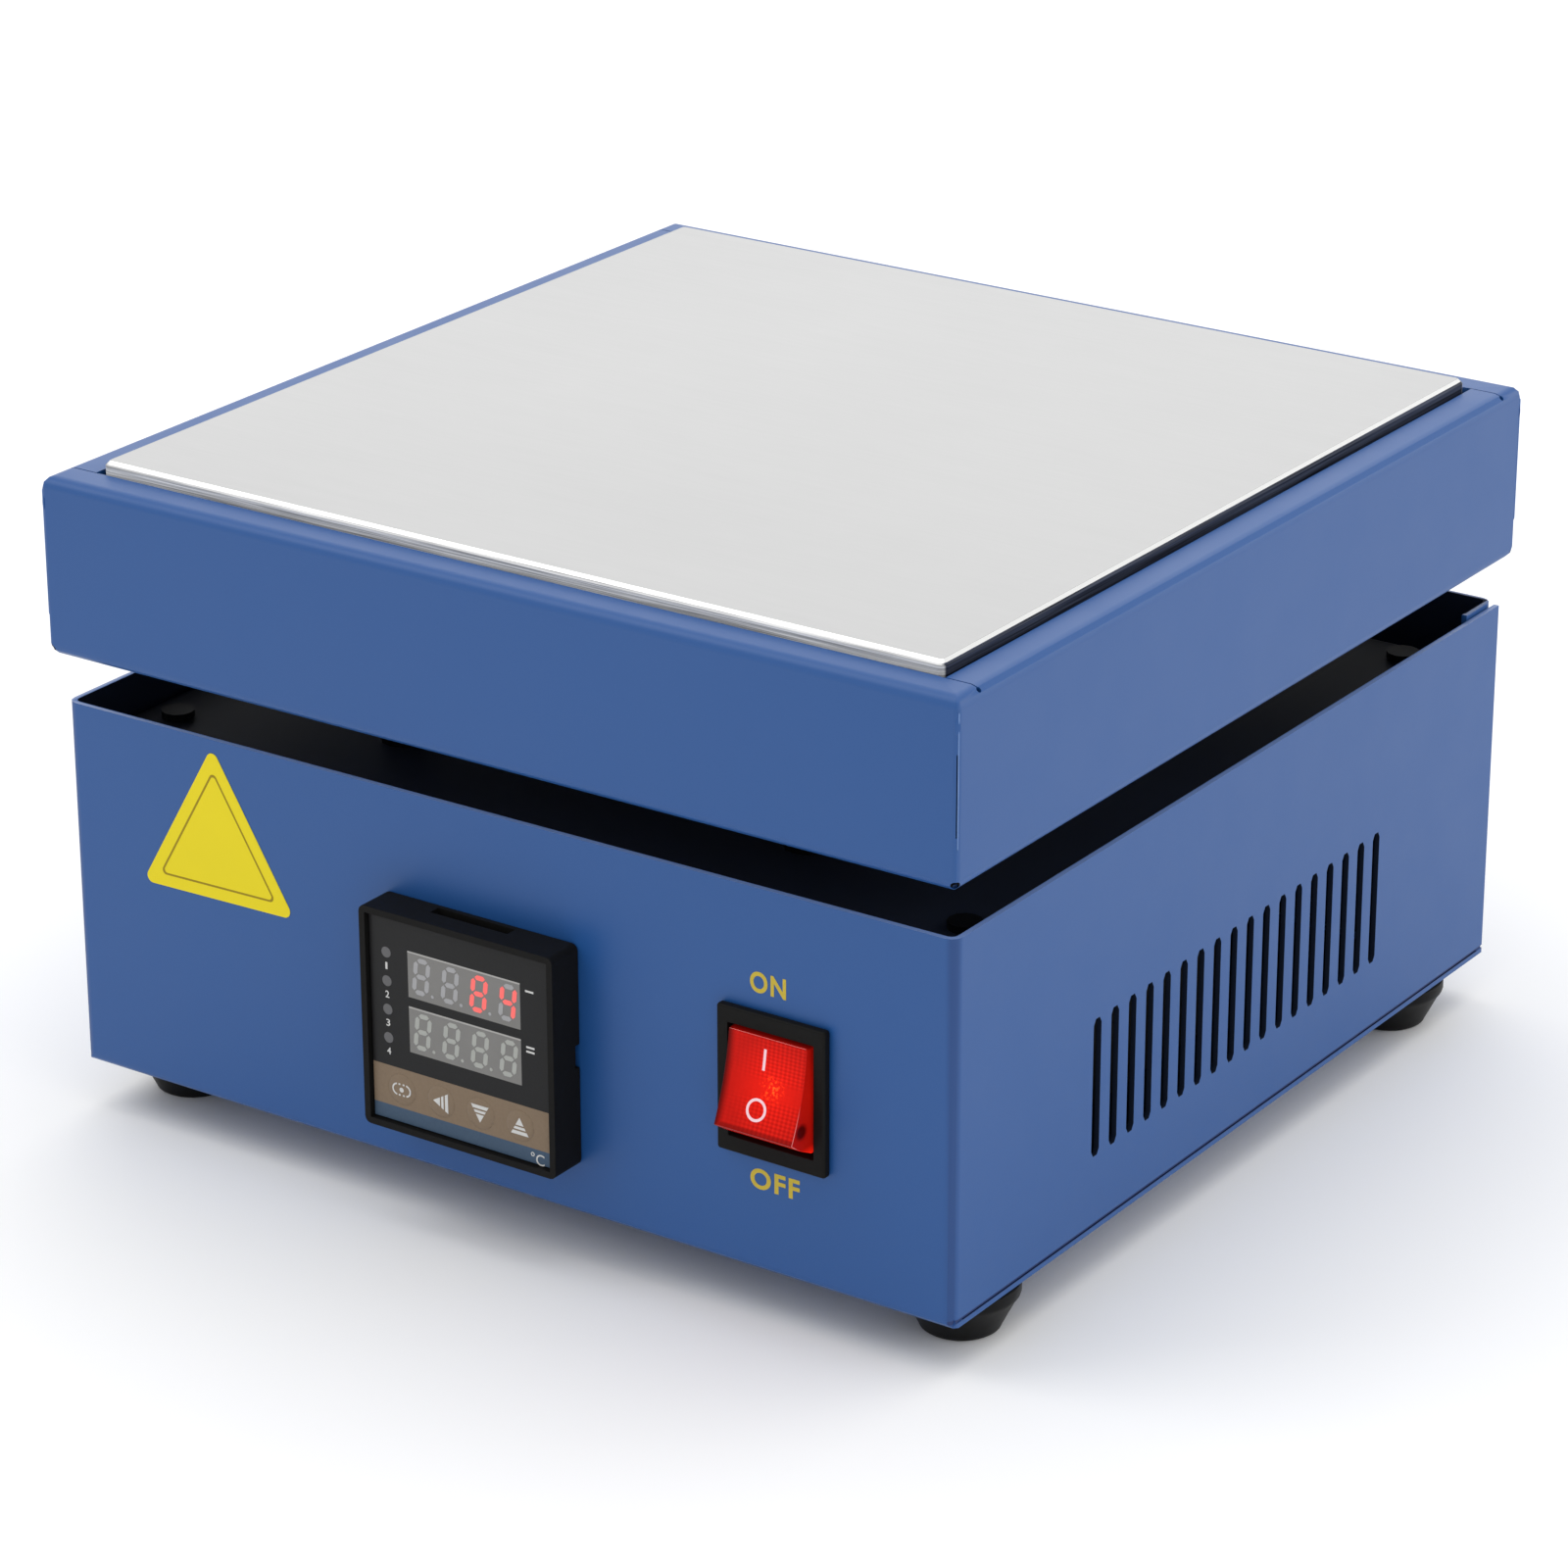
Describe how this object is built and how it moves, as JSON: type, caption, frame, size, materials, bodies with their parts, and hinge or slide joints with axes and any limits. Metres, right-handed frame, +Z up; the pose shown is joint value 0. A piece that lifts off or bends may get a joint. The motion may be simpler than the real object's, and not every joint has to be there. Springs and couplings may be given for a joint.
{
  "type": "pcb preheater",
  "caption": "Bench preheater: a square heated plate in a folded tray on posts above a vented control box with temperature controller, rocker switch and mains inlet",
  "frame": {"origin": "centre of the whole object's box, on the surface it stands on", "axes": "+Z up, the controller and the switch face -Y, +X to the right of someone facing the controller"},
  "size_m": [0.22, 0.2262, 0.1433],
  "materials": {
    "plate_alloy": "fine satin, machined",
    "bright_steel": "zinc plated",
    "black_steel": "blackened",
    "blue_paint": "satin powder coat with a fine orange peel",
    "dark_paint": "matt",
    "wool": "ceramic fibre board",
    "rubber": "matt",
    "black_plastic": "fine spark texture",
    "overlay_film": "satin film",
    "display_face": "smoked, with segmented digits",
    "key_film": "satin",
    "circuit_board": "solder mask",
    "red_plastic": "translucent, lit from inside",
    "relay_case": "plain",
    "ceramic": "unglazed ceramic",
    "brass": "nickelled brass",
    "glass": "glass tube with metal caps",
    "sleeve": "braided glass-fibre sleeve",
    "red_wire": "insulated wire",
    "blue_wire": "insulated wire",
    "black_wire": "insulated wire"
  },
  "bodies": {
    "chassis": {"heating_plate": "plate_alloy", "cartridge_heater_1": "bright_steel", "cartridge_heater_2": "bright_steel", "cartridge_heater_3": "bright_steel", "cartridge_heater_4": "bright_steel", "thermocouple_probe": "bright_steel", "insulation_board": "wool", "upper_tray": "blue_paint", "upper_post_1": "black_steel", "upper_post_2": "black_steel", "upper_post_3": "black_steel", "upper_post_4": "black_steel", "lower_post_1": "black_steel", "lower_post_2": "black_steel", "lower_post_3": "black_steel", "lower_post_4": "black_steel", "heat_shield": "dark_paint", "rubber_foot_1": "rubber", "rubber_foot_2": "rubber", "rubber_foot_3": "rubber", "rubber_foot_4": "rubber", "foot_screw_1": "bright_steel", "foot_screw_2": "bright_steel", "foot_screw_3": "bright_steel", "foot_screw_4": "bright_steel", "lower_housing": "blue_paint", "rear_panel": "blue_paint", "rear_panel_screw_1": "black_steel", "rear_panel_screw_2": "black_steel", "rear_panel_screw_3": "black_steel", "controller_case": "black_plastic", "controller_overlay": "overlay_film", "display_module": "display_face", "control_board": "circuit_board", "controller_clamp": "black_plastic", "controller_terminals": "black_plastic", "switch_body": "black_plastic", "inlet_body": "black_plastic", "inlet_pin_line": "brass", "inlet_pin_neutral": "brass", "inlet_pin_earth": "brass", "inlet_screw_1": "bright_steel", "inlet_screw_2": "bright_steel", "solid_state_relay": "relay_case", "relay_screw_1": "bright_steel", "relay_screw_2": "bright_steel", "heater_terminal_block": "ceramic", "cable_grommet": "rubber", "heater_loom": "sleeve", "thermocouple_wire": "sleeve", "mains_wire": "red_wire", "relay_wire": "blue_wire", "heater_feed_wire": "black_wire"},
    "rocker": {"switch_rocker": "red_plastic"},
    "set_key": {"key_set": "key_film"},
    "left_key": {"key_left": "key_film"},
    "down_key": {"key_down": "key_film"},
    "up_key": {"key_up": "key_film"},
    "drawer": {"fuse_drawer": "black_plastic", "fuse": "glass"}
  },
  "joints": [
    {"name": "rocker_turn", "type": "hinge", "parent": "chassis", "child": "rocker", "pos_m": [0.06805, -0.10212, 0.0513], "axis": [1, 0, 0], "range_deg": [0, 32]},
    {"name": "set_key_press", "type": "slide", "parent": "chassis", "child": "set_key", "axis": [0, 1, 0], "range_m": [0, 0.0004], "stiffness_N_per_m": 400, "springref_m": -0.0005},
    {"name": "left_key_press", "type": "slide", "parent": "chassis", "child": "left_key", "axis": [0, 1, 0], "range_m": [0, 0.0004], "stiffness_N_per_m": 400, "springref_m": -0.0005},
    {"name": "down_key_press", "type": "slide", "parent": "chassis", "child": "down_key", "axis": [0, 1, 0], "range_m": [0, 0.0004], "stiffness_N_per_m": 400, "springref_m": -0.0005},
    {"name": "up_key_press", "type": "slide", "parent": "chassis", "child": "up_key", "axis": [0, 1, 0], "range_m": [0, 0.0004], "stiffness_N_per_m": 400, "springref_m": -0.0005},
    {"name": "fuse_drawer_slide", "type": "slide", "parent": "chassis", "child": "drawer", "axis": [0, 1, 0], "range_m": [0, 0.018]}
  ]
}
